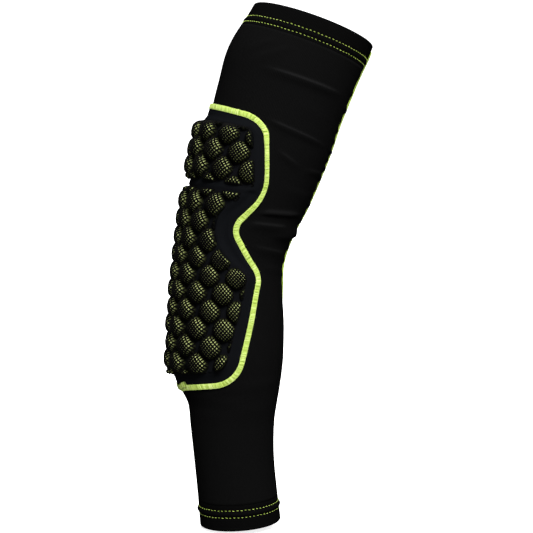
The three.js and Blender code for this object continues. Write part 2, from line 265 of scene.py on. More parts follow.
# The tape round the panel, narrower beside the upper foam, whose end lies over its start
STRIP_STEP = 0.35
TAPE_WIDTH = 4.3
TAPE_NARROWER = 1.1
NARROW_FROM = (236.0, 262.0)
NARROW_TO = (290.0, 308.0)
TAPE_LIFT = 0.9
TAPE_START = 6.0
TAPE_OVERLAP = 12.0
END_RISE = 2.4
END_RISE_OVER = (1.5, 13.0)
END_LIFT = 0.75
END_LIFT_OVER = (7.0, 14.0)
START_SINK = 0.7
START_SINK_OVER = (2.0, 9.0)

# The seam that closes the tube, how it strays along the arm, and its ripples: height, length, start
SEAM_DEGREES = 1.0
SEAM_WIDTH = 2.6
SEAM_SHORT = 2.0
SEAM_LIFT = 0.1
SEAM_SINK = 0.15
SEAM_SINK_OVER = (HEM_DEPTH, HEM_DEPTH + 6)
SEAM_SHIFT = 0.7
SEAM_RIPPLES = [(0.125, 1.55, 0.0), (0.0875, 3.9, 1.0)]
SNAKE = 0.9
SNAKE_LENGTH = 13.0
SNAKE_OVER = (150.0, 200.0)
FOREARM_DRIFT = 16.0
FOREARM_DRIFT_OVER = (150.0, 212.0)
TOP_DRIFT = 1.2
TOP_DRIFT_OVER = (345.0, 365.0)

# Section of a strip of thread: place as a share of the half width, rise as a share of the height
STRIP_SECTION = np.array([
    (-1.0, -1.5),
    (-0.96, 0.45),
    (-0.8, 0.85),
    (-0.5, 0.82),
    (-0.2, 0.92),
    (0.2, 0.92),
    (0.5, 0.82),
    (0.8, 0.85),
    (0.96, 0.45),
    (1.0, -1.5),
])
STRIP_WOBBLE = 0.04
# The strip's own tone is painted dark, as painted shade in the gaps between the threads laid over it
STRIP_SHADE = 0.16
STRIP_SHADE_SPAN = 0.08

# The threads across a strip, with the ranges they are drawn from, and the needle threads along it
THREAD_POINTS = 7
THREAD_THICK = 0.42
THREAD_LEANS = (0.05, 0.5)
THREAD_REACHES = (0.94, 1.04)
THREAD_STRAYS = (-0.04, 0.06)
THREAD_SHARES = (0.68, 0.95)
THREAD_SHADE = 0.62
THREAD_SHADE_SPREAD = 0.2
NEEDLE_WIDTH = 0.34
NEEDLE_THICK = 0.3
NEEDLE_PITCH = 2.4
NEEDLE_SHADE = 0.72
NEEDLE_SHADE_SPAN = 0.12

# Colours in linear light, those of the ramps from dark to pale
LIME_STOPS = [
    (0.0, (0.20, 0.32, 0.03)),
    (0.35, (0.46, 0.62, 0.09)),
    (0.7, (0.58, 0.76, 0.16)),
    (1.0, (0.72, 0.86, 0.30)),
]
# The foam runs from black through a dim lime to lime; the dim lime toward the bump edges is painted shade
FOAM_LIME_AND_PAINTED_SHADE_STOPS = [
    (0.0, (0.0020, 0.0022, 0.0026)),
    (0.5, (0.07, 0.08, 0.026)),
    (1.0, (0.38, 0.43, 0.165)),
]
KNIT_DARK = (0.0028, 0.0028, 0.0028)
KNIT_LIGHT = (0.0071, 0.0071, 0.0072)
HEM_DARK = (0.0019, 0.0019, 0.0019)
HEM_LIGHT = (0.0049, 0.0049, 0.0050)
PANEL_DARK = (0.0041, 0.0045, 0.0053)
PANEL_LIGHT = (0.0069, 0.0075, 0.0088)
NET_BLACK = (0.0026, 0.0026, 0.0022)

# The bowl that is floor and backdrop, in mm
BOWL_FLOOR = -209.0
BOWL_FLAT = 1600.0
BOWL_BEND = 700.0
BOWL_TOP = 3200.0
BOWL_HOLE = 0.1
BOWL_COLUMNS = 96
BOWL_BEND_RINGS = 24
BOWL_WHITE = (0.93, 0.93, 0.93)
BOWL_GLOW = 0.8

# Soft lights in metres and watts: name, place, size, power
LIGHTS = [
    ("key", (0.42, -1.66, 1.25), 0.9, 68),
    ("left", (-1.6, -0.5, -0.1), 1.2, 2.5),
    ("right", (1.7, -0.3, 0.7), 1.2, 4),
    ("top", (0.0, 0.2, 2.2), 1.4, 38),
    ("back", (0.4, 1.8, 1.0), 1.4, 55),
]
WORLD_STRENGTH = 0.25

# The camera, and the point that it and the lights look at
TARGET = np.array([22.875, 0.0, -12.375]) * MM
DISTANCE = 0.88833
PITCH = math.radians(2.3)
LENS = 80
SENSOR = 36


# Helpers
def smooth(x, low, high):
    """Nothing up to low, one from high on, and a soft step between."""
    t = np.clip((x - low) / (high - low), 0, 1)
    return t * t * (3 - 2 * t)


def swell(x, middle, half, power=2):
    """One at the middle, fading to both sides."""
    return np.exp(-((x - middle) / half) ** power)


def unit(vectors):
    return vectors / np.linalg.norm(vectors, axis=-1, keepdims=True)


def distance_along(line):
    """How far each point of a line is from its start."""
    return np.concatenate([[0], np.cumsum(np.linalg.norm(np.diff(line, axis=0), axis=1))])


def drifting(count, window, share):
    """Random values that drift from each to the next."""
    return np.convolve(rng.standard_normal(count + window - 1), np.ones(window) / share, "valid")


# The skin: smooth sections joined up the arm
def spline(rows, t):
    ends = np.vstack([2 * rows[0] - rows[1], rows, 2 * rows[-1] - rows[-2]])
    place = np.clip(t, 0, 1) * (len(rows) - 1)
    k = np.minimum(place.astype(int), len(rows) - 2)
    w = (place - k)[..., None]
    a, b, c, d = ends[k], ends[k + 1], ends[k + 2], ends[k + 3]
    into = 0.5 * (c - a)
    out = 0.5 * (d - b)
    return b + w * (into + w * (3 * (c - b) - 2 * into - out + w * (2 * (b - c) + into + out)))


def section_point(t, around, lift):
    x, z, lean, wide, deep = np.moveaxis(spline(SECTIONS, t), -1, 0)
    lean = np.radians(lean)
    out = (wide + lift) * np.cos(around)
    side = (deep + lift) * np.sin(around)
    return np.stack([x + out * np.cos(lean), -side, z - out * np.sin(lean)], -1)


# Distances along the arm are measured on a line up its back, a little off the skin
BACK_LIFT = 5.0
BACK_T = np.linspace(0, 1, 2001)
BACK_AT = distance_along(section_point(BACK_T, np.pi, BACK_LIFT))
BACK_LENGTH = BACK_AT[-1]
UPPER_EDGE = BACK_LENGTH + HIGH_REACH
LOWER_EDGE = -LOW_REACH

# Straight on past both ends of the table
END_T = np.array([0.0, 0.01, 0.99, 1.0])
END_MIDDLES = section_point(END_T, np.pi / 2, -SECTIONS[[0, 0, -1, -1], 4])
LOW_END = unit(END_MIDDLES[0] - END_MIDDLES[1])
HIGH_END = unit(END_MIDDLES[3] - END_MIDDLES[2])


def skin(along, around, lift):
    along, around, lift = np.broadcast_arrays(along, around, lift)
    held = np.clip(along, 0, BACK_LENGTH)
    past = (along - held)[..., None]
    point = section_point(np.interp(held, BACK_AT, BACK_T), around, lift)
    point = point + abs(past) * np.where(past < 0, LOW_END, HIGH_END)
    point[..., 0] += TOP_SWAY * smooth(along, *TOP_SWAY_OVER)
    return point


def outward(along, around):
    """The direction straight out of the skin."""
    step = 0.4
    turn = 0.01
    a = skin(along + step, around, 0.0) - skin(along - step, around, 0.0)
    b = skin(along, around + turn, 0.0) - skin(along, around - turn, 0.0)
    straight = unit(np.cross(a, b))
    out = skin(along, around, 1.0) - skin(along, around, 0.0)
    return straight * np.sign((straight * out).sum(-1))[..., None]


def panel_middle(along):
    """Where the panel's middle line lies round the arm, in degrees."""
    return PANEL_MIDDLE - PANEL_TURN * (FIRST_ROW - along)


def pattern_angle(across, along):
    return np.radians(panel_middle(along)) - across / PATTERN_RADIUS


def pattern(across, along, lift):
    return skin(along, pattern_angle(across, along), lift)


# The panel's outline with round corners, as a closed ring of flat points
def round_corner(before, at, after, radius):
    if radius == 0:
        return [at]
    back = unit(before - at)
    on = unit(after - at)
    half = math.acos(np.clip(back @ on, -1, 1)) / 2
    centre = at + unit(back + on) * radius / math.sin(half)
    start = at + back * radius / math.tan(half) - centre
    end = at + on * radius / math.tan(half) - centre
    turn = math.atan2(start[0] * end[1] - start[1] * end[0], start @ end)
    steps = max(CORNER_LEAST, math.ceil(abs(turn) / CORNER_STEP))
    angles = [turn * i / steps for i in range(steps + 1)]
    return [
        centre + np.array([
            start[0] * math.cos(a) - start[1] * math.sin(a),
            start[0] * math.sin(a) + start[1] * math.cos(a),
        ])
        for a in angles
    ]


def outline_ring():
    half = [(np.array([x, y]), r) for x, y, r in OUTLINE]
    other = [(np.array([-x, y]), r) for x, y, r in OUTLINE[1:-1][::-1]]
    corners = half + other
    ring = []
    for i, (at, radius) in enumerate(corners):
        before = corners[i - 1][0]
        after = corners[(i + 1) % len(corners)][0]
        ring += round_corner(before, at, after, radius)
    return np.array(ring)


RING = outline_ring()


def outline_distance(across, along):
    """How far flat points are from the outline, below nothing inside it."""
    p = np.stack([np.ravel(across), np.ravel(along)], 1)
    nearest = np.full(len(p), np.inf)
    inside = np.zeros(len(p), bool)
    for a, b in zip(RING, np.roll(RING, -1, 0)):
        edge = b - a
        part = np.clip((p - a) @ edge / (edge @ edge), 0, 1)
        nearest = np.minimum(nearest, np.linalg.norm(p - a - part[:, None] * edge, axis=1))
        if a[1] != b[1]:
            crosses = (a[1] > p[:, 1]) != (b[1] > p[:, 1])
            inside ^= crosses & (p[:, 0] < a[0] + (p[:, 1] - a[1]) / edge[1] * edge[0])
    return np.where(inside, -nearest, nearest).reshape(np.shape(across))


# Folds and tucks of the knit, which fade out at the tape, the seam and the hems
def fold_height(along, around):
    degrees = np.degrees(around) % 360
    tape = outline_distance(np.radians(panel_middle(along) - degrees) * PATTERN_RADIUS, along)
    past_seam = abs(degrees - SEAM_DEGREES)
    from_seam = np.minimum(past_seam, abs(degrees - SEAM_DEGREES - 360))
    edge = np.minimum(along, BACK_LENGTH - along) - HEM_DEPTH
    height = np.zeros(np.shape(along))
    for at, turn, length, climb, above, below, tall in FOLDS:
        round_it = degrees - turn
        off = along - at - climb * round_it
        off = off / np.where(off > 0, above, below)
        height += tall * np.exp(-(off ** 2) - (round_it / length) ** 4)
    height *= smooth(from_seam, *SEAM_FADE)
    for at, tall, above, below in TUCKS:
        off = along - at - TUCK_CLIMB * from_seam
        off = off / np.where(off > 0, above, below)
        height += tall * np.exp(-(off ** 2) - (from_seam / TUCK_SPREAD) ** 2)
    return height * smooth(tape, *TAPE_FADE) * smooth(edge, *HEM_FADE)


def fold_painted_highlight(along, around):
    """How much painted highlight the knit gets: most on the upper faces of the folds."""
    drop = fold_height(along - HIGHLIGHT_STEP, around) - fold_height(along + HIGHLIGHT_STEP, around)
    return HIGHLIGHT_MOST * smooth(drop / (2 * HIGHLIGHT_STEP), *HIGHLIGHT_SLOPES)


# No painted highlight, for knit without folds
def no_painted_highlight(along, around):
    return np.zeros(np.shape(along))


# The foam's bumps: rounded, in rows that are set half a pitch apart
def lattice_middle(along):
    return BUMP_SHIFT - LOWER_DRIFT * (1 - smooth(along, *DRIFT_OVER))


def lattice_half(along):
    return BUMP_PITCH / 2 * (1 + LOWER_SPREAD * (1 - smooth(along, *SPREAD_OVER)))


def lattice(across, along):
    x = (across - lattice_middle(along)) / lattice_half(along)
    y = (along - FIRST_ROW) / ROW_PITCH
    return (x + y) / 2, (x - y) / 2


def from_lattice(a, b):
    along = FIRST_ROW + (a - b) * ROW_PITCH
    return lattice_middle(along) + (a + b) * lattice_half(along), along


def bump_reach(across, along):
    """How far out on its bump a point is."""
    a, b = lattice(across, along)
    x, y = from_lattice(np.floor(a) + 0.5, np.floor(b) + 0.5)
    wide = abs(across - x) / (BUMP_WIDE * lattice_half(along))
    tall = abs(along - y) / BUMP_TALL
    return (wide ** BUMP_ROUND + tall ** BUMP_ROUND) ** (1 / BUMP_ROUND)


def crown(across, along):
    reach = np.clip(bump_reach(across, along) / BUMP_FILL, 0, 1)
    return (1 - reach ** CROWN_FLAT) ** CROWN_STEEP


# The two foam blocks: how far a flat point is beyond each, and how high they are
def beyond_upper(across, along):
    edge = outline_distance(across, along) + UPPER_INSET
    into_groove = GROOVE_ALONG + GROOVE_WIDTH / 2 - along
    return np.maximum(edge, np.maximum(into_groove, along - FOAM_HIGHEST))


def beyond_lower(across, along):
    notch = NOTCH_INSET * smooth(along, *NOTCH_FROM) * (1 - NOTCH_EASE * smooth(along, *NOTCH_TO))
    edge = outline_distance(across, along) + LOWER_INSET + notch
    return np.maximum(edge, along - (GROOVE_ALONG - GROOVE_WIDTH / 2))


def roll_off(depth, radius):
    inward = np.clip(depth / radius, 0, 1)
    return np.sqrt(1 - (1 - inward) ** 2)


def foam_height(across, along, beyond):
    tall = FOAM_FLOOR + (FOAM_TOP - FOAM_FLOOR) * crown(across, along)
    to_groove = abs(along - GROOVE_ALONG) - GROOVE_WIDTH / 2
    tall = GROOVE_FLOOR + (tall - GROOVE_FLOOR) * roll_off(to_groove, GROOVE_ROLL)
    tall = GROOVE_FLOOR + (tall - GROOVE_FLOOR) * roll_off(FOAM_HIGHEST - along, TOP_ROLL)
    low = PANEL_TOP + FOAM_EDGE
    return low + (tall - low) * roll_off(-beyond, EDGE_ROLL)


def lime_and_painted_shade(across, along, over):
    """One where the lime face of the foam shows, on the tops of the bumps, fading toward the bump edges as
    painted shade.
    """
    tops_and_painted_shade = 1 - smooth(bump_reach(across, along), LIME_WITHIN, BUMP_FILL)
    return tops_and_painted_shade * smooth(-over, *LIME_OFF_EDGE) * smooth(FOAM_HIGHEST - along, *LIME_OFF_TOP)


# The panel, with a soft ridge between the foam and the tape, and a welt in the groove
def beyond_panel(across, along):
    return outline_distance(across, along) + PANEL_INSET


def panel_height(across, along, over):
    edge = smooth(-over, 0, PANEL_EDGE_ROLL)
    ridge = RIDGE_HEIGHT * swell(over, -RIDGE_IN, RIDGE_HALF)
    foam_gap = np.minimum(beyond_upper(across, along), beyond_lower(across, along))
    ramp = RAMP_HEIGHT * (1 - smooth(foam_gap, 0, RAMP_LENGTH)) * edge
    in_groove = swell(along, GROOVE_ALONG, GROOVE_HALF, 4) * smooth(-over, *GROOVE_FADE)
    groove = (GROOVE_FLOOR - PANEL_TOP - RAMP_HEIGHT) * in_groove
    welt = WELT_HEIGHT * swell(along, GROOVE_ALONG, WELT_HALF, 4) * smooth(-over, *WELT_FADE)
    return PANEL_EDGE + (PANEL_TOP - PANEL_EDGE) * edge + ridge + ramp + groove + welt


def panel_mask(across, along, over):
    return np.zeros(np.shape(across))


# Meshes
def make_object(name, points, faces, material, weave=None):
    mesh = bpy.data.meshes.new(name)
    mesh.from_pydata((np.asarray(points) * MM).tolist(), [], [list(f) for f in faces])
    mesh.shade_smooth()
    if weave is not None:
        layer = mesh.attributes.new("weave", "FLOAT_VECTOR", "POINT")
        layer.data.foreach_set("vector", np.asarray(weave, np.float32).ravel())
    mesh.materials.append(material)
    mesh.validate()
    ob = bpy.data.objects.new(name, mesh)
    bpy.context.scene.collection.objects.link(ob)
    return ob


def grid_faces(rows, columns, wrap_rows=False, wrap_columns=False):
    """Squares between the points of a grid that is numbered row by row."""
    i = np.arange(rows if wrap_rows else rows - 1)
    j = np.arange(columns if wrap_columns else columns - 1)
    i, j = np.meshgrid(i, j, indexing="ij")
    here = i * columns
    above = (i + 1) % rows * columns
    on = (j + 1) % columns
    return np.stack([here + j, above + j, above + on, here + on], -1).reshape(-1, 4)


def held_at(lift):
    """The same lift all round the arm."""
    return lambda along, around: np.full(np.shape(along), lift)


def tube(name, outer, inner, columns, material, painted_highlight=no_painted_highlight):
    """A closed tube: rings of (along, lift) up the outside and then down the inside."""
    around = np.linspace(0, FULL_TURN, columns, endpoint=False)
    points = []
    weave = []
    for along, lift in outer + inner:
        level = np.full(columns, float(along))
        points.append(skin(along, around, lift(level, around)))
        # The third weave value carries the painted highlight of the folds
        weave.append(np.stack([around * PATTERN_RADIUS, level, painted_highlight(level, around)], 1))
    faces = grid_faces(len(points), columns, wrap_rows=True, wrap_columns=True)
    return make_object(name, np.vstack(points), faces, material, np.vstack(weave))


def slab(name, step, beyond, upper, low, mask, material):
    """A closed slab cut from a fine flat grid along the line where beyond is nothing, laid on the arm."""
    nudge = 0.05
    least_slope = 0.2
    passes = 4
    reach = max(row[0] for row in OUTLINE) + 2 * step
    across = np.arange(-reach, reach + step, step)
    along = np.arange(OUTLINE[-1][1] - 2 * step, OUTLINE[0][1] + 2 * step, step)
    x, y = np.meshgrid(across, along)
    cells = grid_faces(*x.shape)[:, ::-1]
    cells = cells[(beyond(x, y).ravel()[cells] < 0).any(1)]
    used, cells = np.unique(cells, return_inverse=True)
    cells = cells.reshape(-1, 4)
    flat = np.stack([x.ravel(), y.ravel()], 1)[used]
    for _ in range(passes):
        x, y = flat.T
        over = beyond(x, y)
        slope = np.stack([
            beyond(x + nudge, y) - beyond(x - nudge, y),
            beyond(x, y + nudge) - beyond(x, y - nudge),
        ], 1) / (2 * nudge)
        size = np.maximum((slope ** 2).sum(1), least_slope)
        move = np.where(over > 0, over / size, 0)
        flat = flat - move[:, None] * slope
    x, y = flat.T
    count = len(flat)
    over = beyond(x, y)
    points = np.vstack([pattern(x, y, upper(x, y, over)), pattern(x, y, low)])
    edges = np.concatenate([cells[:, [k, (k + 1) % 4]] for k in range(4)])
    known = set(map(tuple, edges.tolist()))
    rim = np.array([e for e in edges.tolist() if (e[1], e[0]) not in known])
    walls = np.stack([rim[:, 1], rim[:, 0], rim[:, 0] + count, rim[:, 1] + count], 1)
    faces = np.vstack([cells, cells[:, ::-1] + count, walls])
    weave = np.stack([x, y, mask(x, y, over)], 1)
    under = np.stack([x, y, np.zeros(count)], 1)
    return make_object(name, points, faces, material, np.vstack([weave, under]))


class Strands:
    """Many thin threads gathered into one mesh."""

    TIP = 0.45

    def __init__(self):
        self.points = []
        self.faces = []
        self.weave = []
        self.count = 0

    def add(self, line, up, width, height, sides=6, shade=0.5, pointed=True):
        """A thread along a line of points with an up direction at each, closed at both ends."""
        line = np.asarray(line)
        on = unit(np.gradient(line, axis=0))
        side = unit(np.cross(on, up))
        rise = np.cross(side, on)
        turn = (np.arange(sides) + 0.5) * FULL_TURN / sides
        n = len(line)
        thick = np.ones(n)
        if pointed:
            thick[0] = thick[-1] = self.TIP
        reach = math.cos(np.pi / sides)
        half = (width / 2 / reach * thick)[:, None, None]
        tall = (height / 2 / reach * thick)[:, None, None]
        ring = line[:, None] + side[:, None] * np.cos(turn)[None, :, None] * half
        ring = ring + rise[:, None] * np.sin(turn)[None, :, None] * tall
        first = self.count
        self.points.append(ring.reshape(-1, 3))
        self.faces += (grid_faces(n, sides, wrap_columns=True)[:, ::-1] + first).tolist()
        self.faces.append(list(range(first, first + sides)))
        self.faces.append(list(range(first + (n - 1) * sides, first + n * sides))[::-1])
        weave = np.zeros((n, sides, 3))
        weave[..., 0] = distance_along(line)[:, None]
        weave[..., 1] = np.arange(sides) / sides
        weave[..., 2] = np.broadcast_to(shade, n)[:, None]
        self.weave.append(weave.reshape(-1, 3))
        self.count += n * sides

    def build(self, name, material):
        return make_object(name, np.vstack(self.points), self.faces, material, np.vstack(self.weave))


# Materials
def new_material(name):
    material = bpy.data.materials.new(name)
    material.use_nodes = True
    nodes = material.node_tree.nodes
    return material, nodes, material.node_tree.links, nodes["Principled BSDF"]


def set_inputs(node, values):
    for socket, value in values.items():
        node.inputs[socket].default_value = value


def weave_parts(nodes, links):
    """The place on the cloth, and the tone that goes with it."""
    attribute = nodes.new("ShaderNodeAttribute")
    attribute.attribute_name = "weave"
    parts = nodes.new("ShaderNodeSeparateXYZ")
    links.new(attribute.outputs["Vector"], parts.inputs[0])
    return attribute.outputs["Vector"], parts.outputs["Z"]


def bands(nodes, links, vector, direction, pitch):
    """Soft bands, a pitch apart in millimetres."""
    wave = nodes.new("ShaderNodeTexWave")
    wave.wave_type = "BANDS"
    wave.bands_direction = direction
    wave.wave_profile = "SIN"
    set_inputs(wave, {"Scale": 2 * math.pi / (20 * pitch), "Distortion": 0.0})
    links.new(vector, wave.inputs["Vector"])
    return wave.outputs["Fac"]


def ramp_colour(nodes, links, factor, stops, shader):
    ramp = nodes.new("ShaderNodeValToRGB")
    elements = ramp.color_ramp.elements
    for element, (place, colour) in zip(elements, (stops[0], stops[-1])):
        element.position = place
        element.color = (*colour, 1)
    for place, colour in stops[1:-1]:
        elements.new(place).color = (*colour, 1)
    links.new(factor, ramp.inputs["Fac"])
    links.new(ramp.outputs["Color"], shader.inputs["Base Color"])


def bump(nodes, links, height, distance, strength, shader):
    node = nodes.new("ShaderNodeBump")
    set_inputs(node, {"Distance": distance, "Strength": strength})
    links.new(height, node.inputs["Height"])
    links.new(node.outputs["Normal"], shader.inputs["Normal"])


def knit_material(name, dark, light, wale, course):
    material, nodes, links, shader = new_material(name)
    vector, painted_highlight = weave_parts(nodes, links)
    loops = nodes.new("ShaderNodeMath")
    loops.operation = "MULTIPLY"
    links.new(bands(nodes, links, vector, "X", wale), loops.inputs[0])
    links.new(bands(nodes, links, vector, "Y", course), loops.inputs[1])
    # Painted highlight: the third weave value lifts the knit's colour toward a paler stop on the upper
    # faces of the folds
    loops_and_highlight = nodes.new("ShaderNodeMath")
    loops_and_highlight.operation = "MULTIPLY_ADD"
    links.new(loops.outputs[0], loops_and_highlight.inputs[0])
    loops_and_highlight.inputs[1].default_value = 0.5
    links.new(painted_highlight, loops_and_highlight.inputs[2])
    highlight_colour = tuple(HIGHLIGHT_PALER * c for c in light)
    ramp_colour(nodes, links, loops_and_highlight.outputs[0], [(0.05, dark), (0.45, light), (1.0, highlight_colour)], shader)
    bump(nodes, links, loops.outputs[0], 0.00012, 0.5, shader)
    set_inputs(shader, {"Roughness": 0.55, "Specular IOR Level": 0.0})
    return material


def foam_material():
    material, nodes, links, shader = new_material("net_faced_foam")
    _, lime_and_painted_shade_share = weave_parts(nodes, links)
    # The ramp paints the lime of the bump tops and the painted shade toward their edges
    ramp_colour(nodes, links, lime_and_painted_shade_share, FOAM_LIME_AND_PAINTED_SHADE_STOPS, shader)
    set_inputs(shader, {"Roughness": 0.8, "Specular IOR Level": 0.01})
    return material


def plain_material(name, colour, roughness, specular):
    material, _, _, shader = new_material(name)
    set_inputs(shader, {"Base Color": (*colour, 1), "Roughness": roughness, "Specular IOR Level": specular})
    return material


def thread_material(name, stops, ply):
    material, nodes, links, shader = new_material(name)
    vector, shade = weave_parts(nodes, links)
    ramp_colour(nodes, links, shade, stops, shader)
    bump(nodes, links, bands(nodes, links, vector, "X", ply), 0.00006, 0.5, shader)
    set_inputs(shader, {"Roughness": 0.6, "Specular IOR Level": 0.3, "Sheen Weight": 0.1})
    return material


knit = knit_material("black_knit", KNIT_DARK, KNIT_LIGHT, wale=0.95, course=0.75)
hem_knit = knit_material("hem_knit", HEM_DARK, HEM_LIGHT, wale=0.95, course=0.75)
panel_knit = knit_material("panel_knit", PANEL_DARK, PANEL_LIGHT, wale=0.7, course=0.6)
foam = foam_material()
net_thread = plain_material("black_net", NET_BLACK, roughness=0.6, specular=0.02)
lime = thread_material("lime_thread", LIME_STOPS, ply=0.35)


# The knit tube, with more rings where it has folds
def make_sleeve():
    low = HEM_DEPTH
    high = BACK_LENGTH - HEM_DEPTH
    rings = np.concatenate([
        np.linspace(low, FOLDED_LOW, RINGS_BELOW_FOLDS, endpoint=False),
        np.linspace(FOLDED_LOW, FOLDED_HIGH, RINGS_IN_FOLDS, endpoint=False),
        np.linspace(FOLDED_HIGH, high, RINGS_ABOVE_FOLDS),
    ])
    outer = [(along, fold_height) for along in rings]
    inner = [(along, held_at(-KNIT)) for along in np.linspace(high, low, RINGS_INSIDE)]
    # The sleeve's colour gets the painted highlight on the upper faces of its folds
    return tube("knit_sleeve", outer, inner, KNIT_COLUMNS, knit, fold_painted_highlight)


# A hem: the knit folded over its edge, drawn in a little along the two stitch rows
def make_hem(name, edge, into, rows, depth, puff):
    def outside(d):
        dip = sum(ROW_DIP * swell(d, row, ROW_DIP_HALF) for row in rows)
        return puff * swell(d, sum(rows) / 2, PUFF_HALF) - dip

    def inside(d):
        return LIP * swell(d, depth, LIP_HALF) - HEM_THICK

    def rings(profile):
        return [(edge + into * d, held_at(lift)) for d, lift in profile]

    outer = rings(ROUND_OUTSIDE)
    outer += rings((d, outside(d)) for d in np.linspace(FLAT_OUTSIDE, depth, HEM_RINGS))
    inner = rings((d, inside(d)) for d in np.linspace(depth, FLAT_INSIDE, HEM_RINGS_INSIDE))
    inner += rings((d, lift - HEM_THICK) for d, lift in ROUND_INSIDE)
    if into < 0:
        outer = outer[::-1]
        inner = inner[::-1]
    return tube(name, outer, inner, HEM_COLUMNS, hem_knit)


def hem_stitches(name, edge, into, rows):
    strands = Strands()
    lift = STITCH_ARCH * np.sin(np.linspace(0, np.pi, STITCH_POINTS)) ** STITCH_ROUND - STITCH_SINK
    for row in rows:
        along = edge + into * row
        girth = distance_along(skin(along, np.linspace(0, FULL_TURN, GIRTH_POINTS), 0.0))[-1]
        count = int(girth / STITCH_PITCH)
        half = FULL_TURN * STITCH_HALF / count
        for k in range(count):
            middle = FULL_TURN * (k + rng.uniform(-STITCH_STRAY, STITCH_STRAY)) / count
            around = middle + np.linspace(-half, half, STITCH_POINTS)
            slant = np.linspace(-STITCH_SLANT, STITCH_SLANT, STITCH_POINTS)
            slant = slant + rng.uniform(-STITCH_TILT, STITCH_TILT)
            line = skin(along + slant, around, lift)
            shade = rng.uniform(*STITCH_SHADES)
            up = outward(np.full(STITCH_POINTS, along), around)
            strands.add(line, up, STITCH_WIDTH, STITCH_WIDTH, shade=shade)
    return strands.build(name, lime)


def make_panel():
    return slab("pad_flange", PANEL_STEP, beyond_panel, panel_height, PANEL_LOW, panel_mask, panel_knit)


def make_pad(name, beyond):
    # The foam's colour mask holds the lime tops and the painted shade at the bump edges
    return slab(name, FOAM_STEP, beyond, foam_height, PANEL_TOP - FOAM_SUNK, lime_and_painted_shade, foam)


# The black net stretched over the bumps: two sets of threads that cross over and under each other
def make_net(name, beyond, low, high):
    strands = Strands()
    a_low = lattice(-NET_ACROSS, low)[0]
    a_high = lattice(NET_ACROSS, high)[0]
    b_low = lattice(-NET_ACROSS, high)[1]
    b_high = lattice(NET_ACROSS, low)[1]
    spans = [(a_low, a_high, b_low, b_high), (b_low, b_high, a_low, a_high)]
    for family, (start, end, first, last) in enumerate(spans):
        m = np.arange(math.ceil(first * NET_PER_BUMP), math.floor(last * NET_PER_BUMP) + 1)
        on = (m + 0.5) / NET_PER_BUMP
        for k in range(math.ceil(start * NET_PER_BUMP), math.floor(end * NET_PER_BUMP) + 1):
            held = np.full(len(on), (k + 0.5) / NET_PER_BUMP)
            across, along = from_lattice(held, on) if family == 0 else from_lattice(on, held)
            over = beyond(across, along)
            inside = (over < -NET_INSET) & (bump_reach(across, along) < BUMP_FILL + NET_OVERHANG)
            parity = ((m + k + family) % 2) * 2 - 1
            lift = foam_height(across, along, over) + NET_LIFT + NET_WEAVE * parity
            edges = np.flatnonzero(np.diff(np.concatenate([[0], inside.astype(int), [0]])))
            for a, b in zip(edges[::2], edges[1::2]):
                if b - a < 2:
                    continue
                run = slice(a, b)
                line = pattern(across[run], along[run], lift[run])
                up = outward(along[run], pattern_angle(across[run], along[run]))
                strands.add(line, up, NET_WIDTH, NET_HEIGHT, sides=4, pointed=False)
    return strands.build(name, net_thread)


# Flatlock seams of lime threads: a crowned strip with threads across it
def strip(name, middle, side, up, width, tall):
    """A crowned strip of thread with two soft rails, closed all round."""
    place, rise = STRIP_SECTION.T
    n = len(middle)
    m = len(place)
    half = np.broadcast_to(width, n) / 2 * (1 + STRIP_WOBBLE * drifting(n, 9, 3))
    ring = middle[:, None] + side[:, None] * place[None, :, None] * half[:, None, None]
    ring = ring + up[:, None] * (rise * tall)[None, :, None]
    faces = grid_faces(n, m, wrap_columns=True).tolist()
    faces.append(list(range(m))[::-1])
    faces.append(list(range((n - 1) * m, n * m)))
    # Painted shade: the strip is coloured dark, with darker and paler bands across its width, so the gaps
    # between its threads read as shade
    shade = drifting(n, 15, 8)[:, None] - np.cos(3 * np.pi * place)[None, :]
    weave = np.zeros((n, m, 3))
    weave[..., 0] = place[None, :] * half[:, None]
    weave[..., 1] = np.arange(n)[:, None] * STRIP_STEP
    weave[..., 2] = np.clip(STRIP_SHADE + STRIP_SHADE_SPAN * shade, 0, 1)
    return make_object(name, ring.reshape(-1, 3), faces, lime, weave.reshape(-1, 3))


